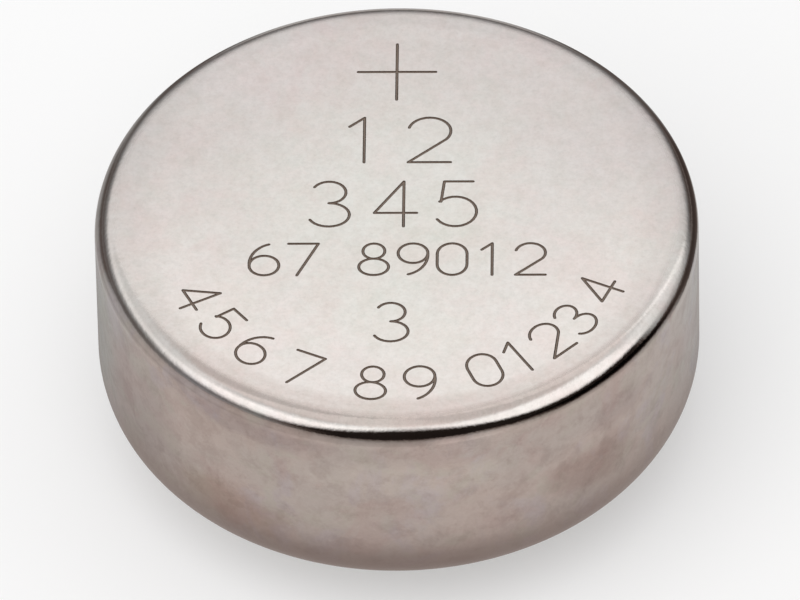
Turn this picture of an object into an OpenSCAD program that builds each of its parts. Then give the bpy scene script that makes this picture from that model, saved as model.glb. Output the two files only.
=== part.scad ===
// Alkaline button cell, 11.6 mm across and 5.4 mm high.
//
// A deep-drawn steel can is the positive pole. It is upside down here: its closed face is on top, and its mouth,
// at the bottom, is crimped in over a stepped cap, the negative pole, on which the cell stands. A nylon gasket lies
// between the two. The can holds a pressed cathode pellet, a separator of film and absorbent, and a zinc gel that
// fills the cap.
//
// Every piece is turned about the Z axis. Sections are drawn in the X-Z half plane, with the radius along X.
// Units are millimetres, +Z is up, and the origin is the middle of the negative contact.

/* [Cell] */
// Outside diameter of the can
cell_d = 11.6; // [10.5:0.1:16]
// Height from the negative contact to the positive face
cell_h = 5.4; // [5.2:0.1:8]
// Gap that lets one piece nest in another
fit_gap = 0.02; // [0.01:0.005:0.03]

/* [Positive can] */
// Thickness of the can's sheet
can_wall = 0.25; // [0.15:0.01:0.35]
// Outside radius of the edge round the positive face
can_edge_r = 0.5; // [0.4:0.05:1]
// Outside radius of the crimp at the can's mouth
crimp_r = 1.3; // [1.1:0.05:1.6]
// Angle through which the crimp turns the can's wall in
crimp_angle = 80; // [65:1:86]

/* [Negative cap] */
// Thickness of the cap's sheet
cap_wall = 0.2; // [0.12:0.01:0.25]
// Height by which the contact stands out past the crimp's lip
cap_stand = 0.75; // [0.4:0.05:0.8]
// Outside radius of the edge round the contact
contact_edge_r = 0.45; // [0.3:0.05:0.6]
// Inside radius of the bend between the neck and the shoulder
neck_bend_r = 0.12; // [0.08:0.01:0.18]
// Width of the shoulder, from the neck's outside to the wall's outside
shoulder_w = 0.7; // [0.65:0.05:1]
// Outside radius of the bend between the shoulder and the wall
shoulder_bend_r = 0.35; // [0.3:0.01:0.4]
// Gap inside the folded rim
fold_gap = 0.06; // [0.04:0.01:0.1]
// Height between the shoulder's bend and the end of the folded skirt
skirt_rise = 0.2; // [0.15:0.05:0.3]

/* [Sealing gasket] */
// Thickness of the gasket between the skirt and the can
gasket_wall = 0.35; // [0.25:0.05:0.45]
// Thickness of the gasket between the shoulder and the crimp
gasket_crimp = 0.35; // [0.3:0.05:0.45]
// Thickness of the gasket's foot above the folded rim
foot_t = 0.3; // [0.2:0.05:0.4]
// Width of the foot, in from the can
foot_w = 0.95; // [0.92:0.01:1.2]

/* [Filling] */
// Thickness of the cathode pellet
pellet_t = 1.8; // [1.2:0.05:1.95]
// Thickness of the barrier film
film_t = 0.05; // [0.03:0.01:0.1]
// Thickness of the absorbent pad
pad_t = 0.25; // [0.15:0.05:0.35]

/* [Hidden] */
$fn = 128;

// Radii, from the can inwards
can_r = cell_d / 2;
bore_r = can_r - can_wall;               // inside of the can
filling_r = bore_r - fit_gap;            // pellet, film and pad
skirt_r = filling_r - gasket_wall - fit_gap;
cap_r = skirt_r - cap_wall - fold_gap;   // outside of the cap's wall
neck_r = cap_r - shoulder_w;
foot_r = filling_r - foot_w;             // opening inside the gasket's foot

// Heights, from the positive face down
can_floor_z = cell_h - can_wall;         // inside of the positive face
pellet_z = can_floor_z - pellet_t;
film_z = pellet_z - film_t;
pad_z = film_z - pad_t;
rim_z = pad_z - foot_t - fit_gap;        // top of the cap's folded rim
fold_z = rim_z - cap_wall - fold_gap / 2;

// Heights, from the crimp up
crimp_z = cap_stand + crimp_r * sin(crimp_angle);   // centre of the crimp's bend
gasket_end_z = crimp_z - crimp_r + can_wall + fit_gap;
shoulder_z = gasket_end_z + gasket_crimp + fit_gap;
skirt_z = shoulder_z + shoulder_bend_r + skirt_rise;

// A block in the section from one corner to the other
module block(r0, z0, r1, z1) {
    translate([r0, z0]) square([r1 - r0, z1 - z0]);
}

// Turns a section into a solid
module turned() {
    rotate_extrude() intersection() {
        children();
        block(0, -1, can_r + 1, cell_h + 1);
    }
}

// The can's outline, drawn in by `inset` from its outside. Its mouth isn't cut open yet.
module can_outline(inset) {
    side_r = can_r - inset;
    block(0, crimp_z, can_r - can_edge_r, cell_h - inset);
    block(0, crimp_z, side_r, cell_h - can_edge_r);
    block(0, crimp_z - crimp_r + inset, can_r - crimp_r, crimp_z);
    translate([can_r - can_edge_r, cell_h - can_edge_r]) circle(can_edge_r - inset);
    translate([can_r - crimp_r, crimp_z]) circle(crimp_r - inset);
}

// What lies inside the angle that the crimp is turned through
module mouth_opening() {
    reach = 2 * crimp_r;
    drop = reach * sin(crimp_angle);
    polygon([
        [-1, crimp_z], [can_r - crimp_r, crimp_z],
        [can_r - crimp_r + reach * cos(crimp_angle), crimp_z - drop], [-1, crimp_z - drop]
    ]);
}

// The inner shell of the cap, without its folded skirt: contact, neck, shoulder and wall, up to `top_z`.
// It is drawn in by `inset` from its outside.
module cap_outline(inset, top_z) {
    step_r = neck_r - inset;
    step_z = shoulder_z + inset;
    bend_r = neck_bend_r + inset;
    side_r = cap_r - inset;
    block(0, inset, neck_r - contact_edge_r, step_z + bend_r);
    block(0, contact_edge_r, step_r, step_z + bend_r);
    translate([neck_r - contact_edge_r, contact_edge_r]) circle(contact_edge_r - inset);
    difference() {
        block(0, step_z - bend_r, step_r + bend_r, step_z + bend_r);
        translate([step_r + bend_r, step_z - bend_r]) circle(bend_r);
    }
    block(0, step_z, cap_r - shoulder_bend_r, top_z);
    block(0, shoulder_z + shoulder_bend_r, side_r, top_z);
    translate([cap_r - shoulder_bend_r, shoulder_z + shoulder_bend_r]) circle(shoulder_bend_r - inset);
}

// The folded rim and skirt, filled in and grown by `grow`: what the gasket is moulded round
module fold_outline(grow) {
    fold_r = cap_r + fold_gap / 2;
    half_t = cap_wall + fold_gap / 2 + grow;
    block(fold_r - half_t, skirt_z - grow, fold_r + half_t, fold_z);
    translate([fold_r, fold_z]) circle(half_t);
}

// The slot between the cap's wall and its skirt, with the round end inside the fold
module fold_slot() {
    block(cap_r, skirt_z - 1, cap_r + fold_gap, fold_z);
    translate([cap_r + fold_gap / 2, fold_z]) circle(fold_gap / 2);
}

// Can: closed on top, with a round edge, and crimped in at its mouth
module positive_can() {
    color([0.66, 0.63, 0.60]) turned() difference() {
        can_outline(0);
        can_outline(can_wall);
        mouth_opening();
    }
}

// Cap: contact, neck, shoulder and wall, with a rim folded back outside the wall
module negative_cap() {
    color([0.74, 0.73, 0.71]) turned() {
        difference() {
            cap_outline(0, fold_z);
            cap_outline(cap_wall, fold_z + 1);
        }
        difference() {
            fold_outline(0);
            block(0, 0, cap_r - cap_wall, rim_z);
            fold_slot();
        }
    }
}

// Gasket: a sleeve along the can with a foot over the cap's folded rim. The crimp squeezes its other end onto
// the cap's shoulder, and its edge shows between the can's lip and the cap's neck.
module sealing_gasket() {
    color([0.88, 0.86, 0.78]) turned() difference() {
        intersection() {
            can_outline(can_wall + fit_gap);
            block(0, 0, can_r, pad_z);
        }
        cap_outline(-fit_gap, fold_z);
        fold_outline(fit_gap);
        block(0, fold_z - fit_gap, foot_r, cell_h);
    }
}

// Cathode: a pressed disc of manganese dioxide and graphite that fills the closed end of the can
module cathode_pellet() {
    edge_r = can_edge_r - can_wall + fit_gap;
    color([0.16, 0.16, 0.17]) turned() {
        block(0, pellet_z, filling_r - edge_r, can_floor_z);
        block(0, pellet_z, filling_r, can_floor_z - edge_r);
        translate([filling_r - edge_r, can_floor_z - edge_r]) circle(edge_r);
    }
}

// Barrier film, which keeps the zinc from growing through to the cathode
module barrier_film() {
    color([0.85, 0.80, 0.66]) turned() block(0, film_z, filling_r, pellet_z);
}

// Absorbent pad, which is soaked in electrolyte and held at its rim by the gasket's foot
module absorbent_pad() {
    color([0.93, 0.92, 0.89]) turned() block(0, pad_z, filling_r, film_z);
}

// Anode: a gel of zinc powder that fills the cap and reaches the pad through the gasket's foot
module zinc_gel() {
    color([0.48, 0.50, 0.53]) turned() {
        cap_outline(cap_wall + fit_gap, fold_z - 2 * fit_gap);
        block(0, shoulder_z + shoulder_bend_r, foot_r - fit_gap, pad_z);
    }
}

positive_can();
negative_cap();
sealing_gasket();
cathode_pellet();
barrier_film();
absorbent_pad();
zinc_gel();
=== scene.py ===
import itertools
import math

import bmesh
import bpy
from mathutils import Matrix, Vector


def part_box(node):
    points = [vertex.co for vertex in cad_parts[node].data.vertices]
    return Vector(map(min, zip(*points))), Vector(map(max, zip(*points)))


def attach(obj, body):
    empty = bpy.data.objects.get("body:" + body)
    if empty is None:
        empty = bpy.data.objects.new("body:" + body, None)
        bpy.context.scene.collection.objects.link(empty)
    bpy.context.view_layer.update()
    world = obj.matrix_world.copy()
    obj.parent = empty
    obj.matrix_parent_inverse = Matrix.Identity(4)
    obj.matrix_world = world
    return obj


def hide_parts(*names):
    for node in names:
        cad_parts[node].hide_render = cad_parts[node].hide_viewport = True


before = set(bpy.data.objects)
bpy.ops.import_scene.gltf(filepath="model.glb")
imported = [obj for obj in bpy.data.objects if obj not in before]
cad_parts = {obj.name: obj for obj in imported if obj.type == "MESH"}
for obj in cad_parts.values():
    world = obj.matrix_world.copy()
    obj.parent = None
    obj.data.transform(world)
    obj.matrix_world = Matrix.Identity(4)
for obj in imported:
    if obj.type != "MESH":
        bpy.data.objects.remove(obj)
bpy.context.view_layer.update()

# Alkaline button cell: a plated steel can, crimped over a nylon gasket and a stepped negative cap.
# Lengths in this file are in millimetres and angles in degrees, and MM turns a length into metres.
# The cell stands on its negative contact at z = 0, and the reader of its marks is on the -Y side.
MM = 0.001

# ---- Sizes, the same as the solids have ----

can_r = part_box("positive_can")[1][0] / MM
cell_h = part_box("positive_can")[1][2] / MM
can_wall = 0.25
can_edge_r = 0.5
crimp_r = 1.3
crimp_angle = 80.0
fit_gap = 0.02
cap_wall = 0.2
cap_stand = 0.75
contact_edge_r = 0.45
neck_bend_r = 0.12
shoulder_w = 0.7
shoulder_bend_r = 0.35
fold_gap = 0.06
skirt_rise = 0.2
gasket_wall = 0.35
gasket_crimp = 0.35
foot_w = 0.95

filling_r = can_r - can_wall - fit_gap
skirt_r = filling_r - gasket_wall - fit_gap
cap_r = skirt_r - cap_wall - fold_gap
neck_r = cap_r - shoulder_w
foot_r = filling_r - foot_w
pad_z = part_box("sealing_gasket")[1][2] / MM
rim_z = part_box("negative_cap")[1][2] / MM
fold_z = rim_z - cap_wall - fold_gap / 2
crimp_z = cap_stand + crimp_r * math.sin(math.radians(crimp_angle))
gasket_end_z = crimp_z - crimp_r + can_wall + fit_gap
shoulder_z = gasket_end_z + gasket_crimp + fit_gap
skirt_z = shoulder_z + shoulder_bend_r + skirt_rise
face_r = can_r - can_edge_r
contact_r = neck_r - contact_edge_r
sheared_r = 0.03    # corners of the can's sheared lip

# Centres of the bends, as (radius, height)
edge_centre = (face_r, cell_h - can_edge_r)
crimp_centre = (can_r - crimp_r, crimp_z)
neck_centre = (neck_r + neck_bend_r, shoulder_z - neck_bend_r)
shoulder_centre = (cap_r - shoulder_bend_r, shoulder_z + shoulder_bend_r)
fold_centre = (cap_r + fold_gap / 2, fold_z)

# Mesh fineness: steps round the axis, and the width of the flat ring that keeps a flat face's shading flat
turn_steps = 288
support = 0.05


# ---- Sections ----

def on_circle(centre, radius, angle):
    """The point of a circle at an angle."""
    turn = math.radians(angle)
    return centre[0] + radius * math.cos(turn), centre[1] + radius * math.sin(turn)


def arc(centre, radius, start, stop, steps):
    """Points along an arc in the section, from one angle to another."""
    return [on_circle(centre, radius, start + (stop - start) * i / steps) for i in range(steps + 1)]


def line(start, stop, steps):
    """Points inside a straight run, without its ends."""
    shares = (i / steps for i in range(1, steps))
    return [(start[0] + (stop[0] - start[0]) * s, start[1] + (stop[1] - start[1]) * s) for s in shares]


def crimped_side(radius, inset, first):
    """One side of the crimp: its bend, and its corner of the sheared lip. first turns the corner's start."""
    heart = radius + inset
    lip = math.degrees(sheared_r / heart) - crimp_angle
    corner = arc(on_circle(crimp_centre, heart, lip), sheared_r, lip + first, lip + first - 90, 4)
    return arc(crimp_centre, radius, 0, lip, 30), corner


def can_section():
    """The can: the edge of its face, the wall, the crimp and its sheared lip, and back up inside."""
    points = [(face_r - support, cell_h)]
    points += arc(edge_centre, can_edge_r, 90, 0, 28)
    points += line((can_r, edge_centre[1]), (can_r, crimp_z), 14)
    bend, corner = crimped_side(crimp_r, -sheared_r, 0)
    points += bend[:-1] + corner
    bend, corner = crimped_side(crimp_r - can_wall, sheared_r, -90)
    points += corner[:-1] + bend[::-1]
    points += line((can_r - can_wall, crimp_z), (can_r - can_wall, edge_centre[1]), 3)
    points += arc(edge_centre, can_edge_r - can_wall, 0, 90, 8)
    points += [(face_r - support, cell_h - can_wall)]
    return points


def cap_section():
    """The cap: the edge of its contact, the neck, shoulder and wall, the folded rim, and back inside."""
    contact = (contact_r, contact_edge_r)
    neck_top = neck_centre[1]
    points = [(contact_r - support, 0.0)]
    points += arc(contact, contact_edge_r, -90, 0, 20)
    points += line((neck_r, contact_edge_r), (neck_r, neck_top), 4)
    points += arc(neck_centre, neck_bend_r, 180, 90, 8)
    points += arc(shoulder_centre, shoulder_bend_r, -90, 0, 10)
    points += arc(fold_centre, fold_gap / 2, 180, 0, 6)
    points += [(cap_r + fold_gap, skirt_z), (skirt_r, skirt_z)]
    points += arc(fold_centre, fold_gap / 2 + cap_wall, 0, 180, 18)
    points += arc(shoulder_centre, shoulder_bend_r - cap_wall, 0, -90, 8)
    points += arc(neck_centre, neck_bend_r + cap_wall, 90, 180, 8)
    points += line((neck_r - cap_wall, neck_top), (neck_r - cap_wall, contact_edge_r), 4)
    points += arc(contact, contact_edge_r - cap_wall, 0, -90, 10)
    points += [(contact_r - support, cap_wall)]
    return points


def gasket_section():
    """The gasket, once round: sleeve, crimped end, neck, shoulder, the folded rim's channel, and foot."""
    points = [(filling_r, pad_z), (filling_r, (pad_z + crimp_z) / 2)]
    points += arc(crimp_centre, crimp_r - can_wall - fit_gap, 0, -90, 20)
    points += [(neck_r + fit_gap, gasket_end_z)]
    points += arc(neck_centre, neck_bend_r - fit_gap, 180, 90, 6)
    points += arc(shoulder_centre, shoulder_bend_r + fit_gap, -90, 0, 8)
    points += [(cap_r + fit_gap, skirt_z - fit_gap), (skirt_r + fit_gap, skirt_z - fit_gap)]
    points += arc(fold_centre, fold_gap / 2 + cap_wall + fit_gap, 0, 180, 14)
    points += [(foot_r, fold_z), (foot_r, pad_z)]
    return points


# ---- Node trees that make shapes ----

class ShapeTree:
    """A Geometry Nodes tree. Its inputs are named, and its end realizes instances and sets the material."""

    def __init__(self, name, **inputs):
        self.tree = bpy.data.node_groups.new(name, "GeometryNodeTree")
        self.open_socket("Geometry", "INPUT", "Geometry")
        for label, kind in inputs.items():
            self.open_socket(label.replace("_", " "), "INPUT", kind)
        self.open_socket("Geometry", "OUTPUT", "Geometry")
        self.group_input = self.tree.nodes.new("NodeGroupInput")

    def open_socket(self, label, side, kind):
        self.tree.interface.new_socket(label, in_out=side, socket_type="NodeSocket" + kind)

    def given(self, label):
        return self.group_input.outputs[label]

    def add(self, kind, settings=None, inputs=None, output=0):
        """Adds a node, sets it, links or sets its inputs, and gives back one of its outputs."""
        node = self.tree.nodes.new(kind)
        for key, value in (settings or {}).items():
            setattr(node, key, value)
        for key, value in (inputs or {}).items():
            if isinstance(value, bpy.types.NodeSocket):
                self.tree.links.new(value, node.inputs[key])
            else:
                node.inputs[key].default_value = value
        return node.outputs[output]

    def join(self, *parts):
        """Joins several shapes into one."""
        node = self.tree.nodes.new("GeometryNodeJoinGeometry")
        for part in parts:
            self.tree.links.new(part, node.inputs[0])
        return node.outputs[0]

    def end(self, shape):
        """Realizes instances, sets the material and gives back the finished tree."""
        material = self.given("Material")
        shape = self.add("GeometryNodeRealizeInstances", None, {"Geometry": shape})
        shape = self.add("GeometryNodeSetMaterial", None, {"Geometry": shape, "Material": material})
        output = self.tree.nodes.new("NodeGroupOutput")
        self.tree.links.new(shape, output.inputs[0])
        return self.tree


def run_tree(name, mesh, tree, **values):
    """Runs a tree on a mesh, and gives back the result as a plain object without modifiers."""
    piece = bpy.data.objects.new(name, mesh)
    bpy.context.scene.collection.objects.link(piece)
    modifier = piece.modifiers.new("Shape", "NODES")
    modifier.node_group = tree
    sockets = {item.name: item.identifier for item in tree.interface.items_tree if item.in_out == "INPUT"}
    for label, value in values.items():
        modifier[sockets[label.replace("_", " ")]] = value
    settle(piece)
    return piece


def settle(piece):
    """Turns what a piece's modifiers make into its own plain mesh."""
    graph = bpy.context.evaluated_depsgraph_get()
    graph.update()
    mesh = bpy.data.meshes.new_from_object(piece.evaluated_get(graph), depsgraph=graph)
    piece.modifiers.clear()
    old = piece.data
    piece.data = mesh
    mesh.name = piece.name
    if old.users == 0:
        bpy.data.meshes.remove(old)


def turning_tree():
    """Turns a section, drawn in the X-Z half plane, round Z, and can close its two ends with flat discs."""
    tree = ShapeTree(
        "Turned section", Steps="Int", Lathe_radius="Float", Discs="Bool", Disc_radius="Float",
        First_height="Float", Second_height="Float", Material="Material",
    )
    section = tree.add("GeometryNodeMeshToCurve", None, {"Mesh": tree.given("Geometry")})
    shift = tree.add("ShaderNodeMath", {"operation": "MULTIPLY"}, {0: tree.given("Lathe radius"), 1: -1.0})
    shift = tree.add("ShaderNodeCombineXYZ", None, {"X": shift})
    section = tree.add("GeometryNodeTransform", None, {
        "Geometry": section, "Translation": shift, "Rotation": (math.radians(90), 0.0, 0.0),
    })
    path = tree.add("GeometryNodeCurvePrimitiveCircle", None, {
        "Resolution": tree.given("Steps"), "Radius": tree.given("Lathe radius"),
    })
    shell = tree.add("GeometryNodeCurveToMesh", None, {"Curve": path, "Profile Curve": section})
    discs = []
    for height in ("First height", "Second height"):
        disc = tree.add("GeometryNodeMeshCircle", {"fill_type": "NGON"}, {
            "Vertices": tree.given("Steps"), "Radius": tree.given("Disc radius"),
        })
        lift = tree.add("ShaderNodeCombineXYZ", None, {"Z": tree.given(height)})
        discs.append(tree.add("GeometryNodeTransform", None, {"Geometry": disc, "Translation": lift}))
    discs = tree.join(*discs)
    discs = tree.add("GeometryNodeSwitch", {"input_type": "GEOMETRY"}, {
        "Switch": tree.given("Discs"), "True": discs,
    })
    whole = tree.join(shell, discs)
    whole = tree.add("GeometryNodeMergeByDistance", None, {"Geometry": whole, "Distance": 1e-7})
    whole = tree.add("GeometryNodeSetShadeSmooth", None, {"Geometry": whole, "Shade Smooth": True})
    return tree.end(whole)


def stroke_tree():
    """Runs a round cutter along strokes. Each point of a stroke has its own share of the cutter's radius."""
    tree = ShapeTree(
        "Cutter along strokes", Cutter_radius="Float", Cutter_sides="Int", Lift="Float", Material="Material",
    )
    path = tree.add("GeometryNodeMeshToCurve", None, {"Mesh": tree.given("Geometry")})
    ring = tree.add("GeometryNodeCurvePrimitiveCircle", None, {
        "Resolution": tree.given("Cutter sides"), "Radius": tree.given("Cutter radius"),
    })
    share = tree.add("GeometryNodeInputNamedAttribute", {"data_type": "FLOAT"}, {"Name": "share"})
    tool = tree.add("GeometryNodeCurveToMesh", None, {
        "Curve": path, "Profile Curve": ring, "Scale": share, "Fill Caps": True,
    })
    lift = tree.add("ShaderNodeCombineXYZ", None, {"Z": tree.given("Lift")})
    tool = tree.add("GeometryNodeTransform", None, {"Geometry": tool, "Translation": lift})
    return tree.end(tool)


# ---- Marks on the face ----

glyph_w = 0.68        # width of a digit, as a share of its height
stamp_turn = -1.45    # turn of the straight rows


def bowl(x, y, across, up, start, stop, steps=22):
    """A run of points along an ellipse's arc in a digit's box."""
    turns = (math.radians(start + (stop - start) * i / steps) for i in range(steps + 1))
    return [(x + across * math.cos(t), y + up * math.sin(t)) for t in turns]


def digit(name):
    """The strokes of a digit, in a box of height 1 with its lower left corner at the origin."""
    w = glyph_w
    m = w / 2
    six = [bowl(m, 0.31, m, 0.31, 90, 450, 32), bowl(0.6, 0.36, 0.6, 0.64, 180, 105, 14)]
    strokes = {
        "0": [bowl(m, w / 2, m, m, -180, 0) + bowl(m, 1 - m, m, m, 0, 180) + [(0.0, m)]],
        "1": [[(0.12, 0.8), (0.36, 1.0)], [(0.36, 1.0), (0.36, 0.0)]],
        "2": [bowl(m, 0.7, m, 0.3, 165, -38) + [(0.0, 0.0)], [(0.0, 0.0), (w, 0.0)]],
        "3": [bowl(0.29, 0.76, 0.27, 0.24, 150, -90), bowl(0.29, 0.26, 0.33, 0.26, 90, -155)],
        "4": [[(0.47, 1.0), (0.0, 0.3)], [(0.0, 0.3), (w, 0.3)], [(0.47, 1.0), (0.47, 0.0)]],
        "5": [[(0.56, 1.0), (0.1, 1.0)], [(0.1, 1.0), (0.05, 0.55)], bowl(0.28, 0.33, 0.34, 0.33, 138, -148)],
        "6": six,
        "7": [[(0.0, 1.0), (w, 1.0)], [(w, 1.0), (0.2, 0.0)]],
        "8": [bowl(m, 0.76, 0.25, 0.24, -90, 270, 28), bowl(m, 0.26, m, 0.26, 90, 450, 32)],
        "9": [[(w - x, 1 - y) for x, y in stroke] for stroke in six],
        "+": [[(0.0, 0.5), (1.0, 0.5)], [(0.5, 0.0), (0.5, 1.0)]],
    }
    return strokes[name]


def turned(x, y, centre):
    """A point of a row, turned as the stamping tool was, about the row's middle."""
    turn = math.radians(stamp_turn)
    across, up = x * math.cos(turn) - y * math.sin(turn), x * math.sin(turn) + y * math.cos(turn)
    return centre[0] + across, centre[1] + up


def set_row(digits, centre, height, pitch, gap=None):
    """Strokes of a straight row of digits. gap is (digits before it, its width in pitches)."""
    strokes = []
    for place, name in enumerate(digits):
        step = place - (len(digits) - 1) / 2
        if gap:
            step += gap[1] * (0.5 if place >= gap[0] else -0.5)
        left = step * pitch - glyph_w * height / 2
        for stroke in digit(name):
            strokes.append([turned(left + x * height, (y - 0.5) * height, centre) for x, y in stroke])
    return strokes


def set_on_arc(digits, angles, centre, radius, height):
    """Strokes of digits along an arc, with their feet outwards. An angle of 0 is nearest the reader."""
    strokes = []
    for name, angle in zip(digits, angles):
        turn = math.radians(angle)
        for stroke in digit(name):
            placed = []
            for x, y in stroke:
                aside = (x - glyph_w / 2) * height
                out = radius + (0.5 - y) * height
                across = centre[0] + out * math.sin(turn) + aside * math.cos(turn)
                placed.append((across, centre[1] - out * math.cos(turn) + aside * math.sin(turn)))
            strokes.append(placed)
    return strokes


def marks():
    """The plus sign of the positive pole, and plain counting digits where such cells carry their print."""
    count = itertools.cycle("1234567890")

    def take(number):
        return list(itertools.islice(count, number))

    plus_size, plus_centre = 1.5, (0.07, 3.77)
    strokes = []
    for stroke in digit("+"):
        strokes.append([turned((x - 0.5) * plus_size, (y - 0.5) * plus_size, plus_centre) for x, y in stroke])
    # Rows: digits, centre, height, pitch
    strokes += set_row(take(2), (0.03, 1.93), 1.2, 1.28)
    strokes += set_row(take(3), (-0.01, 0.21), 1.2, 1.22)
    strokes += set_row(take(7), (0.0, -1.27), 0.84, 0.75, gap=(2, 0.8))
    strokes += set_row(take(1), (-0.1, -2.94), 1.02, 1.0)
    angles = (-64, -52, -40, -26, -7.5, 5, 22, 32, 42, 52, 64)
    strokes += set_on_arc(take(len(angles)), angles, centre=(0.02, -0.29), radius=4.28, height=0.86)
    return strokes


def stroke_mesh(strokes, radius, height):
    """A mesh of loose chains of points, one for each stroke, with rounded ends on the open ones."""
    mesh = bpy.data.meshes.new("Strokes")
    points, links, shares = [], [], []
    run_in = (0.0, 0.1, 0.3, 0.6)
    swell = [math.sqrt(max(0.02, 1 - (1 - t) ** 2)) for t in run_in]
    for stroke in strokes:
        closed = math.dist(stroke[0], stroke[-1]) < 1e-6
        chain = [Vector((x, y)) for x, y in (stroke[:-1] if closed else stroke)]
        share = [1.0] * len(chain)
        if not closed:
            first = (chain[0] - chain[1]).normalized() * radius
            last = (chain[-1] - chain[-2]).normalized() * radius
            head = [chain[0] + first * (1 - t) for t in run_in]
            tail = [chain[-1] + last * (1 - t) for t in reversed(run_in)]
            chain, share = head + chain + tail, swell + share + swell[::-1]
        start = len(points)
        points += [(p.x * MM, p.y * MM, height * MM) for p in chain]
        shares += share
        links += [(start + i, start + i + 1) for i in range(len(chain) - 1)]
        if closed:
            links.append((start + len(chain) - 1, start))
    mesh.from_pydata(points, links, [])
    attribute = mesh.attributes.new("share", "FLOAT", "POINT")
    attribute.data.foreach_set("value", shares)
    return mesh


# ---- Finishes ----

class Wire:
    """One output socket in a finish. A sum written on it becomes Math nodes."""

    def __init__(self, finish, socket):
        self.finish = finish
        self.socket = socket

    def calc(self, operation, *values):
        """A Math node on wires and numbers."""
        return self.finish.add("ShaderNodeMath", {"operation": operation}, dict(enumerate(values)))

    def __add__(self, other):
        return self.calc("ADD", self, other)

    def __sub__(self, other):
        return self.calc("SUBTRACT", self, other)

    def __mul__(self, other):
        return self.calc("MULTIPLY", self, other)

    def __truediv__(self, other):
        return self.calc("DIVIDE", self, other)

    def __pow__(self, other):
        return self.calc("POWER", self, other)

    def __rsub__(self, other):
        return self.calc("SUBTRACT", other, self)

    def __rtruediv__(self, other):
        return self.calc("DIVIDE", other, self)

    __radd__ = __add__
    __rmul__ = __mul__

    def absolute(self):
        return self.calc("ABSOLUTE", self)

    def between(self, low, high):
        """0 below low, 1 above high, and a soft step in between."""
        return self.finish.add("ShaderNodeMapRange", {"interpolation_type": "SMOOTHSTEP", "clamp": True}, {
            "Value": self, "From Min": low, "From Max": high,
        })


class Finish:
    """A node-based material on the Principled shader."""

    def __init__(self, name, **constants):
        self.material = bpy.data.materials.new(name)
        self.material.use_nodes = True
        self.tree = self.material.node_tree
        self.shader = self.tree.nodes["Principled BSDF"]
        for label, value in constants.items():
            self.shader.inputs[label.replace("_", " ")].default_value = value
        place = self.add("ShaderNodeTexCoord", None, None, "Object")
        self.place = self.vector("SCALE", place, 1 / MM)
        apart = self.add("ShaderNodeSeparateXYZ", None, {"Vector": self.place}).socket.node
        self.x, self.y, self.z = (Wire(self, apart.outputs[axis]) for axis in "XYZ")
        self.radius = (self.x * self.x + self.y * self.y) ** 0.5

    def add(self, kind, settings=None, inputs=None, output=0):
        """Adds a node, sets it, links or sets its inputs, and gives back one of its outputs."""
        node = self.tree.nodes.new(kind)
        for key, value in (settings or {}).items():
            if key == "stops":
                self.set_stops(node.color_ramp, value)
            else:
                setattr(node, key, value)
        for key, value in (inputs or {}).items():
            self.put(node.inputs[key], value)
        return Wire(self, node.outputs[output])

    def put(self, socket, value):
        """Links a wire to a socket, or sets the socket. A colour may leave out its alpha."""
        if isinstance(value, Wire):
            self.tree.links.new(value.socket, socket)
        elif socket.type == "RGBA" and len(value) == 3:
            socket.default_value = (*value, 1.0)
        else:
            socket.default_value = value

    def set_stops(self, ramp, stops):
        """Sets the stops of a colour ramp, given as (place, colour)."""
        while len(ramp.elements) < len(stops):
            ramp.elements.new(0.5)
        for element, (place, colour) in zip(ramp.elements, stops):
            element.position = place
            element.color = (*colour, 1.0)

    def vector(self, operation, value, other):
        """Vector Math on a vector and another vector or, for SCALE, a number."""
        label = "Scale" if operation == "SCALE" else 1
        return self.add("ShaderNodeVectorMath", {"operation": operation}, {0: value, label: other})

    def mix(self, share, first, second, blend="MIX"):
        """A colour between two colours."""
        settings = {"data_type": "RGBA", "blend_type": blend}
        return self.add("ShaderNodeMix", settings, {0: share, 6: first, 7: second}, output=2)

    def noise(self, scale, detail=3.0, roughness=0.5, stretch=None, seed=0.0, distortion=0.0, place=None):
        """Noise from 0 to 1, with its scale in waves per millimetre."""
        place = place or self.place
        if stretch:
            place = self.vector("MULTIPLY", place, stretch)
        return self.add("ShaderNodeTexNoise", {"noise_dimensions": "4D"}, {
            "Vector": place, "W": seed, "Scale": scale, "Detail": detail, "Roughness": roughness,
            "Distortion": distortion,
        })

    def ramp(self, value, *stops):
        """A level that follows a value through stops of (value, level). Levels are at most 2."""
        low, high = stops[0][0], stops[-1][0]
        greys = [((at - low) / (high - low), (level / 2,) * 3) for at, level in stops]
        return self.add("ShaderNodeValToRGB", {"stops": greys}, {"Fac": (value - low) / (high - low)}) * 2.0

    def bump(self, height, depth, strength=1.0, normal=None):
        """A bump of so many millimetres."""
        inputs = {"Height": height, "Distance": depth * MM, "Strength": strength}
        if normal:
            inputs["Normal"] = normal
        return self.add("ShaderNodeBump", None, inputs)

    def set(self, **links):
        """Links or sets inputs of the shader, and gives back the material."""
        for label, value in links.items():
            self.put(self.shader.inputs[label.replace("_", " ")], value)
        return self.material


def scratches(finish, turn, scale, seed):
    """Fine straight scratches across the face, in one direction: 1 on a scratch and 0 elsewhere."""
    place = finish.add("ShaderNodeMapping", {"vector_type": "POINT"}, {
        "Vector": finish.place, "Rotation": (0.0, 0.0, math.radians(turn)), "Scale": (1.0, 0.05, 1.0),
    })
    return finish.noise(scale, 2.0, 0.6, seed=seed, place=place).between(0.64, 0.7)


def compass(finish):
    """The direction round Z in degrees: 0 is towards the reader and 90 is to the right."""
    return finish.x.calc("ARCTAN2", finish.x, 0 - finish.y) * (180 / math.pi)


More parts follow.
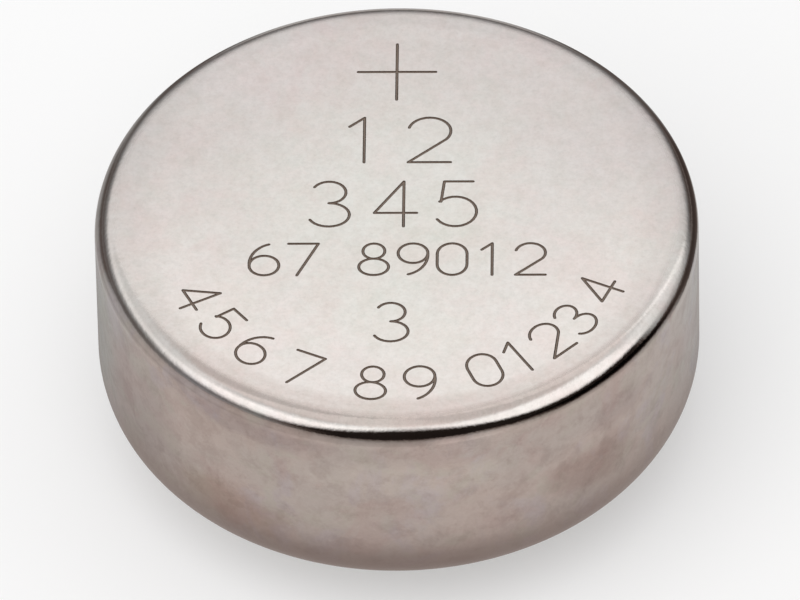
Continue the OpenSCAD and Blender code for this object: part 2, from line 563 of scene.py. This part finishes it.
def stain(finish, angle, height, width, rise):
    """A soft spot on the wall: 1 in its middle and 0 outside it."""
    aside = (compass(finish) - angle) / width
    above = (finish.z - height) / rise
    wander = (finish.noise(1.6, 3.0, 0.6, seed=20.0) - 0.5) * 0.9
    return 1 - ((aside * aside + above * above) ** 0.5 + wander).between(0.35, 1.0)


def face_colour_and_painted_light(finish, clouds, pink, small, blush):
    """Satin nickel, mottled and greener in the middle, with painted light: lighter towards the reader and
    darker towards the back, and painted shade at both flanks by the rim.
    """
    # Painted shade: the face is darker at both flanks, just inside the rounded edge.
    painted_flank_shade = finish.radius.between(4.4, 5.3) * finish.x.absolute().between(3, 4.8)
    middle = 1 - finish.radius.between(1.0, 4.6)
    # Painted light: the flat face is lighter towards the reader and darker towards the back.
    face = finish.mix(finish.y.between(-3.5, 2.5), (0.9, 0.862, 0.832), (0.735, 0.69, 0.675))
    face = finish.mix(painted_flank_shade, face, (0.92, 0.92, 0.92), "MULTIPLY")
    face = finish.mix(middle * 0.75, face, (0.835, 0.835, 0.795))
    face = finish.mix(clouds.between(0.35, 0.65) * 0.6, face, (0.985, 1.0, 0.98), "MULTIPLY")
    face = finish.mix(pink.between(0.45, 0.65), face, (1.0, 0.965, 0.968), "MULTIPLY")
    face = finish.mix(blush.between(0.35, 0.65), face, (1.0, 0.975, 0.97), "MULTIPLY")
    return finish.mix(small.between(0.4, 0.7) * 0.8, face, (0.94, 0.95, 0.935), "MULTIPLY")


def wall_colour_and_painted_shade(finish, clouds, pink, small, blush):
    """Handled nickel: clouds of warm grey, lilac, olive and pink, stains, and darker brown towards the crimp,
    which is partly wear and partly painted shade.
    """
    lilac = finish.noise(0.7, 5.0, 0.6, stretch=(1.0, 1.0, 0.7), seed=7.0, distortion=0.8)
    olive = finish.noise(0.85, 5.0, 0.6, stretch=(1.0, 1.0, 1.3), seed=6.0, distortion=0.7)
    side = finish.mix(clouds.between(0.38, 0.62), (0.77, 0.69, 0.655), (0.735, 0.69, 0.665))
    side = finish.mix(lilac.between(0.5, 0.62) * 0.8, side, (0.72, 0.675, 0.70))
    side = finish.mix(olive.between(0.5, 0.64) * 0.7, side, (0.725, 0.705, 0.65))
    side = finish.mix(pink.between(0.5, 0.66) * 0.7, side, (0.72, 0.615, 0.59))
    side = finish.mix(small.between(0.46, 0.66) * 0.8, side, (0.86, 0.84, 0.835), "MULTIPLY")
    side = finish.mix(blush.between(0.45, 0.62) * 0.6, side, (0.92, 0.90, 0.895), "MULTIPLY")
    stains = (
        # angle, height, half width in degrees, half height, tint
        (39, 2.95, 15, 0.8, (0.80, 0.74, 0.73)),
        (-34, 2.4, 17, 0.7, (0.86, 0.78, 0.75)),
        (-60, 3.2, 17, 2.4, (0.86, 0.84, 0.85)),
        (-31, 4.7, 22, 0.35, (0.86, 0.85, 0.87)),
        (-80, 3.2, 14, 2.4, (0.97, 1.02, 1.01)),
        (76, 3.6, 10, 1.4, (1.08, 1.11, 1.13)),
        (2, 4.0, 26, 0.6, (1.10, 1.11, 1.10)),
        (47, 4.05, 11, 0.5, (0.88, 0.86, 0.87)),
        (-4, 1.8, 34, 0.6, (0.88, 0.86, 0.86)),
    )
    for angle, height, width, rise, tint in stains:
        side = finish.mix(stain(finish, angle, height, width, rise), side, tint, "MULTIPLY")
    # Darker and browner towards the crimp: partly wear, and partly painted shade standing for the shadowed
    # table that the low wall mirrors.
    return finish.mix(1 - finish.z.between(0.95, 2.8), side, (0.40, 0.31, 0.285))


def plated_can():
    """Nickel on deep-drawn steel: a mottled satin face, a clouded wall, and a bright edge between them."""
    finish = Finish("Nickel plating, satin", Metallic=1.0)
    wall = 1 - finish.z.between(cell_h - 0.35, cell_h - 0.05)
    edge = finish.z.between(cell_h - can_edge_r - 0.1, cell_h - can_edge_r)
    edge = edge * (1 - finish.z.between(cell_h - 0.035, cell_h - 0.002))
    clouds = finish.noise(0.42, 4.0, 0.55, seed=1.0, distortion=0.4)
    pink = finish.noise(0.75, 4.0, 0.6, seed=5.0, distortion=0.6)
    small = finish.noise(2.4, 5.0, 0.65, seed=2.0, distortion=0.3)
    blush = finish.noise(3.2, 4.0, 0.7, seed=12.0, distortion=0.5)
    speckle = finish.noise(7.0, 4.0, 0.7, seed=11.0)
    grain = finish.noise(15.0, 3.0, 0.65, seed=3.0)
    mottling = (clouds, pink, small, blush)
    colour = finish.mix(wall, face_colour_and_painted_light(finish, *mottling), wall_colour_and_painted_shade(finish, *mottling))
    speckled = speckle.between(0.35, 0.7) * (0.8 - wall * 0.45)
    grained = grain.between(0.4, 0.8) * (0.6 - wall * 0.3)
    colour = finish.mix(speckled, colour, (0.91, 0.91, 0.905), "MULTIPLY")
    colour = finish.mix(grained, colour, (0.88, 0.875, 0.87), "MULTIPLY")
    rough = 0.25 + small * 0.04 + grain * 0.04 - wall * 0.05 - edge * (0.21 - wall * 0.05)
    outward = finish.add("ShaderNodeCombineXYZ", None, {
        "X": finish.x / finish.radius, "Y": finish.y / finish.radius,
    })
    streaks = finish.noise(30.0, 3.0, 0.6, seed=10.0, place=outward)
    streaks = streaks * edge * (compass(finish).between(30, 60) + 0.15)
    scuffs = scratches(finish, 24.0, 3.0, 5.0) + scratches(finish, -58.0, 2.4, 6.0)
    peel = finish.noise(9.0, 3.0, 0.55, seed=9.0)
    roll = 1 - finish.radius.between(face_r - 0.4, face_r + 0.2)
    fine = finish.bump((grain * 0.6 - scuffs * 0.1) * (1 - edge * 0.85) + streaks * 0.6, 0.003, 0.7)
    normal = finish.bump(peel * 0.06 + roll, 0.045, 1.0, fine)
    return finish.set(Base_Color=colour, Roughness=rough, Normal=normal)


def engraved_groove():
    """The metal inside the marks: burnt dark at the brink, and paler at the bottom."""
    finish = Finish("Groove of a mark", Metallic=1.0)
    grain = finish.noise(22.0, 3.0, 0.6, seed=8.0)
    deep = (cell_h - finish.z).between(0.008, 0.017)
    colour = finish.mix(deep, (0.085, 0.06, 0.045), (0.22, 0.175, 0.145))
    colour = finish.mix(grain.between(0.4, 0.7) * 0.5, colour, (0.13, 0.095, 0.075))
    return finish.set(Base_Color=colour, Roughness=0.2 + grain * 0.15, Normal=finish.bump(grain, 0.002))


def plated_cap():
    """The cap's cleaner nickel, with faint rings from the lathe-like draw and a scuffed contact."""
    finish = Finish("Nickel plating, bright", Metallic=1.0)
    clouds = finish.noise(0.5, 4.0, 0.55, seed=11.0)
    grain = finish.noise(18.0, 3.0, 0.6, seed=12.0)
    rings = finish.add("ShaderNodeTexNoise", {"noise_dimensions": "1D"}, {
        "W": finish.radius, "Scale": 9.0, "Detail": 3.0, "Roughness": 0.6,
    })
    scuffs = scratches(finish, 12.0, 2.6, 13.0) + scratches(finish, 75.0, 2.2, 14.0)
    colour = finish.mix(clouds.between(0.35, 0.65), (0.73, 0.71, 0.68), (0.68, 0.665, 0.645))
    colour = finish.mix(scuffs * 0.3, colour, (0.55, 0.53, 0.51))
    rough = 0.16 + clouds * 0.06 + grain * 0.05
    normal = finish.bump(rings * 0.5 + grain * 0.4 - scuffs * 0.3, 0.004, 0.6)
    return finish.set(Base_Color=colour, Roughness=rough, Normal=normal)


def moulded_nylon():
    """Off-white nylon, a little see-through at its edges."""
    finish = Finish("Nylon, natural", Subsurface_Weight=0.25, Subsurface_Scale=0.0004, IOR=1.53)
    clouds = finish.noise(0.9, 3.0, 0.5, seed=21.0)
    grain = finish.noise(14.0, 3.0, 0.6, seed=22.0)
    colour = finish.mix(clouds.between(0.3, 0.7), (0.80, 0.77, 0.68), (0.74, 0.70, 0.59))
    return finish.set(Base_Color=colour, Roughness=0.38 + grain * 0.12, Normal=finish.bump(grain, 0.004))


def pressed_powder():
    """Manganese dioxide and graphite, pressed into a disc."""
    finish = Finish("Pressed cathode powder")
    grain = finish.noise(9.0, 5.0, 0.7, seed=31.0)
    flakes = finish.add("ShaderNodeTexVoronoi", {"feature": "F1"}, {"Vector": finish.place, "Scale": 7.0})
    colour = finish.mix(grain.between(0.35, 0.7), (0.018, 0.018, 0.02), (0.06, 0.06, 0.065))
    colour = finish.mix(flakes.between(0.0, 0.25) * 0.3, (0.12, 0.12, 0.13), colour)
    return finish.set(Base_Color=colour, Roughness=0.62 + grain * 0.25, Normal=finish.bump(grain, 0.02))


def clear_film():
    """The thin barrier film, yellowish where it is wet."""
    finish = Finish("Barrier film")
    clouds = finish.noise(0.8, 3.0, 0.5, seed=41.0)
    colour = finish.mix(clouds, (0.80, 0.72, 0.50), (0.70, 0.64, 0.47))
    return finish.set(Base_Color=colour, Roughness=0.2 + clouds * 0.1, Normal=finish.bump(clouds, 0.01))


def felted_pad():
    """Pressed white fibres, soaked with electrolyte."""
    finish = Finish("Absorbent felt", Sheen_Weight=0.2)
    along = finish.noise(8.0, 4.0, 0.7, stretch=(0.25, 1.0, 1.0), seed=51.0, distortion=1.5)
    across = finish.noise(8.0, 4.0, 0.7, stretch=(1.0, 0.25, 1.0), seed=52.0, distortion=1.5)
    fibres = along * 0.5 + across * 0.5
    colour = finish.mix(fibres.between(0.3, 0.7), (0.78, 0.76, 0.71), (0.88, 0.87, 0.84))
    return finish.set(Base_Color=colour, Roughness=0.85 + fibres * 0.1, Normal=finish.bump(fibres, 0.03))


def grey_gel():
    """Zinc powder in a wet gel."""
    finish = Finish("Zinc gel", Coat_Roughness=0.15)
    grains = finish.add("ShaderNodeTexVoronoi", {"feature": "F1"}, {"Vector": finish.place, "Scale": 6.0})
    cloud = finish.noise(2.0, 4.0, 0.6, seed=61.0)
    colour = finish.mix(grains.between(0.1, 0.7), (0.42, 0.44, 0.47), (0.20, 0.21, 0.23))
    colour = finish.mix(cloud * 0.4, colour, (0.33, 0.34, 0.36))
    return finish.set(
        Base_Color=colour, Metallic=grains.between(0.5, 0.0) * 0.5, Roughness=0.35 + cloud * 0.2,
        Coat_Weight=0.3 + cloud * 0.3, Normal=finish.bump(grains, 0.05),
    )


# ---- Pieces ----

def section_mesh(name, points, closed=False):
    """A chain of points in the X-Z half plane, in metres."""
    mesh = bpy.data.meshes.new(name)
    links = [(i, i + 1) for i in range(len(points) - 1)]
    if closed:
        links.append((len(points) - 1, 0))
    mesh.from_pydata([(r * MM, 0.0, z * MM) for r, z in points], links, [])
    return mesh


def clean(piece, sharp=40.0):
    """Merges doubles, turns faces outwards, and marks edges that are sharp or lie between two finishes."""
    shape = bmesh.new()
    shape.from_mesh(piece.data)
    bmesh.ops.remove_doubles(shape, verts=shape.verts, dist=2e-8)
    bmesh.ops.dissolve_degenerate(shape, edges=shape.edges, dist=2e-8)
    bmesh.ops.recalc_face_normals(shape, faces=shape.faces)
    for edge in shape.edges:
        between = [face.material_index for face in edge.link_faces]
        parted = len(set(between)) > 1
        edge.smooth = not parted and edge.calc_face_angle(0.0) < math.radians(sharp)
    for face in shape.faces:
        face.smooth = True
    shape.to_mesh(piece.data)
    shape.free()
    piece.data.update()


def add_piece(name, piece, node):
    """Gives a made piece its name and its place in the frame, and hides the solid it stands for."""
    piece.name = name
    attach(piece, "root")
    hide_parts(node)


turning = turning_tree()
lathe = {"Steps": turn_steps, "Lathe_radius": 2 * MM}

plating = plated_can()
groove = engraved_groove()

can = run_tree(
    "Can_shell", section_mesh("Can section", can_section()), turning, **lathe,
    Discs=True, Disc_radius=(face_r - support) * MM,
    First_height=cell_h * MM, Second_height=(cell_h - can_wall) * MM, Material=plating,
)
clean(can)

# The marks are cut by a round tool, whose middle runs a little over the face
cutter_r, cutter_lift = 0.034, 0.016
cutter = run_tree(
    "Cutter", stroke_mesh(marks(), cutter_r, cell_h), stroke_tree(),
    Cutter_radius=cutter_r * MM, Cutter_sides=14, Lift=cutter_lift * MM, Material=groove,
)
clean(cutter, 60.0)
cut = can.modifiers.new("Marks", "BOOLEAN")
cut.operation = "DIFFERENCE"
cut.solver = "EXACT"
cut.use_self = True
cut.material_mode = "TRANSFER"
cut.object = cutter
settle(can)
bpy.data.objects.remove(cutter)
clean(can)
add_piece("can_shell", can, "positive_can")

cap = run_tree(
    "Cap_shell", section_mesh("Cap section", cap_section()), turning, **lathe,
    Discs=True, Disc_radius=(contact_r - support) * MM,
    First_height=0.0, Second_height=cap_wall * MM, Material=plated_cap(),
)
clean(cap)
add_piece("cap_shell", cap, "negative_cap")

gasket = run_tree(
    "Gasket_ring", section_mesh("Gasket section", gasket_section(), closed=True), turning, **lathe,
    Discs=False, Material=moulded_nylon(),
)
clean(gasket)
add_piece("gasket_ring", gasket, "sealing_gasket")

inner_finishes = {
    "cathode_pellet": pressed_powder,
    "barrier_film": clear_film,
    "absorbent_pad": felted_pad,
    "zinc_gel": grey_gel,
}
for node, make in inner_finishes.items():
    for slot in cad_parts[node].material_slots:
        slot.material = make()


# ---- Studio ----

def link_new(name, data):
    """A new object in the scene."""
    item = bpy.data.objects.new(name, data)
    bpy.context.scene.collection.objects.link(item)
    return item


def light_room(level_seen, level_lit):
    """A white world: white where the camera, metal or glass sees it, and softer as a light."""
    world = bpy.data.worlds.new("Studio")
    bpy.context.scene.world = world
    world.use_nodes = True
    tree = world.node_tree
    background = tree.nodes["Background"]
    background.inputs["Color"].default_value = (1.0, 1.0, 1.0, 1.0)
    level = tree.nodes.new("ShaderNodeMapRange")
    level.inputs["To Min"].default_value = level_lit
    level.inputs["To Max"].default_value = level_seen
    tree.links.new(seen_directly(tree), level.inputs["Value"])
    tree.links.new(level.outputs[0], background.inputs["Strength"])


def seen_directly(tree):
    """1 for what the camera, metal or glass sees, and 0 for what only lights something."""
    path = tree.nodes.new("ShaderNodeLightPath")
    seen = path.outputs["Is Camera Ray"]
    for ray in ("Is Glossy Ray", "Is Transmission Ray"):
        either = tree.nodes.new("ShaderNodeMath")
        either.operation = "MAXIMUM"
        tree.links.new(seen, either.inputs[0])
        tree.links.new(path.outputs[ray], either.inputs[1])
        seen = either.outputs[0]
    return seen


def lay_floor(size, colour, lift):
    """A sheet of white paper. lift is the share of plain white in what is seen, which softens its shadow."""
    mesh = bpy.data.meshes.new("Floor")
    corners = [(-size, -size, 0.0), (size, -size, 0.0), (size, size, 0.0), (-size, size, 0.0)]
    mesh.from_pydata(corners, [], [(0, 1, 2, 3)])
    floor = link_new("Floor", mesh)
    paper = Finish("White paper")
    fibres = paper.noise(6.0, 3.0, 0.6, seed=71.0)
    paper.set(Base_Color=paper.mix(fibres, colour, tuple(c * 0.99 for c in colour)), Roughness=0.9)
    white = paper.add("ShaderNodeEmission", None, {"Color": (1.0, 1.0, 1.0, 1.0)})
    share = Wire(paper, seen_directly(paper.tree)) * lift
    lit = Wire(paper, paper.shader.outputs[0])
    both = paper.add("ShaderNodeMixShader", None, {0: share, 1: lit, 2: white})
    paper.tree.links.new(both.socket, paper.tree.nodes["Material Output"].inputs["Surface"])
    mesh.materials.append(paper.material)


def reflected_card(name, points, faces, paint):
    """A large card round the cell that only metal sees. paint gives its glow from its own coordinates."""
    mesh = bpy.data.meshes.new(name)
    mesh.from_pydata([(x * MM, y * MM, z * MM) for x, y, z in points], [], faces)
    sheet = link_new(name, mesh)
    finish = Finish(name, Base_Color=(0.0, 0.0, 0.0, 1.0), Specular_IOR_Level=0.0, Emission_Strength=1.0)
    mesh.materials.append(finish.set(Emission_Color=paint(finish)))
    for ray in ("camera", "diffuse", "transmission", "volume_scatter", "shadow"):
        setattr(sheet, "visible_" + ray, False)


def ringed_points(rings, steps=72):
    """Points and faces of a sheet made of rings round Z, given as (radius, height)."""
    points, faces = [], []
    for row, (radius, height) in enumerate(rings):
        for i in range(steps):
            angle = 2 * math.pi * i / steps
            points.append((radius * math.sin(angle), -radius * math.cos(angle), height))
            if row:
                here, beside = row * steps + i, row * steps + (i + 1) % steps
                faces.append((here - steps, beside - steps, beside, here))
    return points, faces


def room_glow(finish):
    """Softboxes at both sides whose lower edges climb towards the reader, and a dimmer wall behind.

    The stops are (degrees over the table, glow).
    """
    azimuth = compass(finish)
    rise = finish.z.calc("ARCTAN2", finish.z, finish.radius) * (180 / math.pi)
    to_right = azimuth.between(-10, 10)
    front = 1 - azimuth.absolute().between(10, 34)
    above = rise - (1 - azimuth.between(0, 58)) * to_right * 30
    above = above - azimuth.between(-46, 0) * (1 - to_right) * 28
    sunk = rise + (1 - azimuth.between(-90, -50)) * 8
    raised = above - azimuth.between(60, 92) * 6
    left = finish.ramp(
        sunk, (10, 0.95), (24, 1.08), (32, 1.15), (40, 1.2), (45, 1.0), (49, 0.84), (54, 0.63), (60, 0.64),
        (66, 0.7),
    )
    left = left * finish.ramp(above, (8, 0), (12, 0.2), (15, 0.5), (19, 0.75), (24, 1))
    right = finish.ramp(
        rise, (10, 1.05), (27, 1.18), (33, 1.15), (47, 1.1), (52, 0.88), (57, 0.66), (64, 0.58),
    )
    right = right * finish.ramp(raised, (8, 0), (12, 0.35), (15, 0.75), (18, 0.95), (22, 1))
    ahead = finish.ramp(rise, (30, 1.22), (42, 1.22), (51, 0.98), (59, 0.78), (68, 0.69), (74, 0.7))
    ahead = ahead * finish.ramp(above, (6, 0), (10, 0.2), (14, 0.45), (20, 0.85), (24, 1))
    side = left * (1 - to_right) + right * to_right
    low = finish.ramp(rise, (0, 0.28), (8, 0.16), (14, 0)) * azimuth.absolute().between(20, 52)
    low = low * (1 - to_right)
    level = side * (1 - front) + ahead * front + low + 0.015
    back = finish.ramp(
        rise, (0, 0.14), (6, 0.2), (13, 0.36), (20, 0.66), (27, 0.88), (34, 0.96), (40, 1.02), (48, 1.06),
        (53, 0.94), (58, 0.83), (70, 0.76),
    )
    corner = finish.ramp(
        rise, (0, 0.25), (5, 0.42), (12, 0.57), (20, 0.8), (27, 0.84), (33, 0.86), (39, 0.92), (45, 0.84),
        (50, 0.74),
    )
    right_dip = rise.between(45, 49) * 0.06 + (1 - rise.between(4, 24)) * 0.3 + 0.17
    right_dip = azimuth.between(108, 124) * (1 - azimuth.between(142, 158)) * right_dip
    left_dip = azimuth.between(-148, -134) * rise.between(28, 42) * 0.3
    left_dip = left_dip + azimuth.between(-158, -146) * rise.between(2, 8) * (1 - rise.between(16, 27)) * 0.45
    left_dip = (1 - azimuth.between(-100, -72)) * left_dip
    back = back * (1 - right_dip) * (1 - left_dip)
    behind = azimuth.between(116, 132) + (1 - azimuth.between(-98, -66))
    corner_share = azimuth.between(84, 99) * (1 - azimuth.between(116, 132))
    level = level * (1 - behind) * (1 - corner_share) + back * behind + corner * corner_share
    tint = finish.mix(rise.between(50, 60), (1.0, 1.0, 1.0), (1.0, 0.93, 0.905))
    tint = finish.mix(level.between(0, 0.25), (1.0, 0.75, 0.65), tint)
    return finish.mix(1.0, level, tint, "MULTIPLY")


def far_floor_glow(finish, azimuth):
    """The table far off: dark, above all towards the reader's right, and paler at the left.

    The stops are (one over the distance, glow), which evens out what the cell's edge mirrors.
    """
    far = 1 / finish.radius
    to_right = azimuth.between(-5, 5)
    front = azimuth.between(-40, -14) * (1 - azimuth.between(24, 54))
    left = finish.ramp(
        far, (0.004, 0.24), (0.0095, 0.3), (0.0208, 0.42), (0.04, 0.45), (0.048, 0.48), (0.079, 0.48),
    )
    dark = finish.ramp(
        far, (0.004, 0.001), (0.033, 0.002), (0.0397, 0.004), (0.0461, 0.02), (0.0517, 0.1), (0.0575, 0.24),
        (0.0642, 0.36), (0.0722, 0.43), (0.0834, 0.48),
    )
    ahead = finish.ramp(far, (0.004, 0.06), (0.018, 0.17), (0.0418, 0.37), (0.0607, 0.43), (0.0772, 0.48))
    ahead = ahead * (1 + azimuth.between(4, 14) * 0.42)
    aside = finish.ramp(
        far, (0.004, 0.01), (0.0208, 0.03), (0.03, 0.16), (0.0439, 0.45), (0.0607, 0.57), (0.08, 0.56),
    )
    ahead = finish.mix(azimuth.between(22, 36), ahead, aside)
    back = finish.ramp(far, (0.004, 0.16), (0.0259, 0.13), (0.06, 0.12), (0.0772, 0.14), (0.088, 0.2))
    beyond = finish.ramp(far, (0.004, 0.3), (0.02, 0.5), (0.088, 0.6))
    back = finish.mix(azimuth.absolute().between(160, 172), back, beyond)
    corner = finish.ramp(
        far, (0.004, 0.18), (0.0259, 0.055), (0.041, 0.055), (0.0554, 0.06), (0.0675, 0.08), (0.0772, 0.1),
        (0.0848, 0.16),
    )
    nook = finish.ramp(
        far, (0.004, 0.12), (0.0235, 0.12), (0.04, 0.2), (0.053, 0.32), (0.064, 0.37), (0.074, 0.42),
        (0.088, 0.48),
    )
    side = left * (1 - to_right) + dark * to_right
    behind = azimuth.between(138, 156) + (1 - azimuth.between(-156, -142))
    corner_share = azimuth.between(86, 106) * (1 - azimuth.between(138, 156))
    nook_share = (1 - azimuth.between(-118, -104)) * azimuth.between(-156, -142)
    level = (side * (1 - front) + ahead * front) * (1 - behind) * (1 - corner_share) * (1 - nook_share)
    return level + back * behind + corner * corner_share + nook * nook_share


def floor_glow(finish):
    """A mid-grey table near the cell, which the wall mirrors, with the cell's shadow painted on it close by,
    and the far table beyond it.
    """
    azimuth = compass(finish)
    # Painted shadow: the table is darker out to about 7 to 8 mm from the axis, for the cell's own shadow that
    # the wall mirrors.
    near = finish.ramp(finish.radius, (4.4, 0.42), (5.8, 0.42), (7.2, 0.43), (8.6, 0.58), (12, 0.56))
    nearer = azimuth.between(96, 138) * (1 - azimuth.between(162, 176))
    split = (finish.radius + nearer * 1.3).between(11.0, 12.8)
    level = near * (1 - split) + far_floor_glow(finish, azimuth) * split
    dim = (1 - azimuth.between(-112, -84)) * 0.1
    dim = dim + (1 - azimuth.between(-50, -30)) * finish.radius.between(9.2, 10.4) * 0.1
    level = level * (1 - dim * (1 - finish.radius.between(12, 16)))
    cool = azimuth.absolute().between(60, 115)
    tint = finish.mix(cool, (1.0, 0.905, 0.85), (0.94, 0.92, 0.90))
    tint = finish.mix(level.between(0, 0.25), (1.0, 0.72, 0.62), tint)
    return finish.mix(1.0, level, tint, "MULTIPLY")


def light_metal():
    """A dome of softboxes and a table top, which only metal sees."""
    reach = 250.0
    turns = [math.radians(a) for a in range(0, 89, 4)]
    dome = [(reach * math.cos(a), reach * math.sin(a)) for a in turns] + [(1.0, reach)]
    reflected_card("Softboxes", *ringed_points(dome), room_glow)
    table = [(radius, 0.03) for radius in (4.4, 5.8, 8.0, 12.0, 20.0, 40.0, 90.0, 250.0)]
    reflected_card("Dark table", *ringed_points(table), floor_glow)


def hang_key():
    """A broad, soft light from the front left. Metal doesn't see it, because the dome stands for it there."""
    key = link_new("Key", bpy.data.lights.new("Key", "SUN"))
    key.data.energy = 1.3
    key.data.angle = math.radians(70)
    key.rotation_euler = (math.radians(28), math.radians(-18), 0.0)
    key.visible_glossy = False


light_metal()
light_room(level_seen=1.0, level_lit=0.72)
lay_floor(size=2.0, colour=(0.9, 0.9, 0.9), lift=0.35)
hang_key()


# ---- Camera ----

def aim_camera():
    """A long lens from the front, looking down at the face."""
    elevation, roll, distance = math.radians(45.94), math.radians(1.18), 400.0
    image_width, pixels_per_mm = 800, 51.913
    mid_height = 3.065
    # The image's middle lies so many pixels to the right of the cell's, and so many below it
    aside, below = 1.97 / pixels_per_mm, 3.58 / pixels_per_mm
    forward = Vector((0.0, math.cos(elevation), -math.sin(elevation)))
    level, rise = Vector((1.0, 0.0, 0.0)), Vector((0.0, math.sin(elevation), math.cos(elevation)))
    right = level * math.cos(roll) - rise * math.sin(roll)
    up = level * math.sin(roll) + rise * math.cos(roll)
    place = Vector((0.0, 0.0, mid_height)) + right * aside - up * below - forward * distance
    data = bpy.data.cameras.new("Camera")
    data.sensor_width = 36.0
    data.lens = pixels_per_mm * distance * data.sensor_width / image_width
    data.clip_start, data.clip_end = 0.01, 20.0
    camera = link_new("Camera", data)
    turn = Matrix((right, up, -forward)).transposed().to_4x4()
    camera.matrix_world = Matrix.Translation(place * MM) @ turn
    bpy.context.scene.camera = camera


aim_camera()
bpy.context.scene.view_settings.view_transform = "Standard"
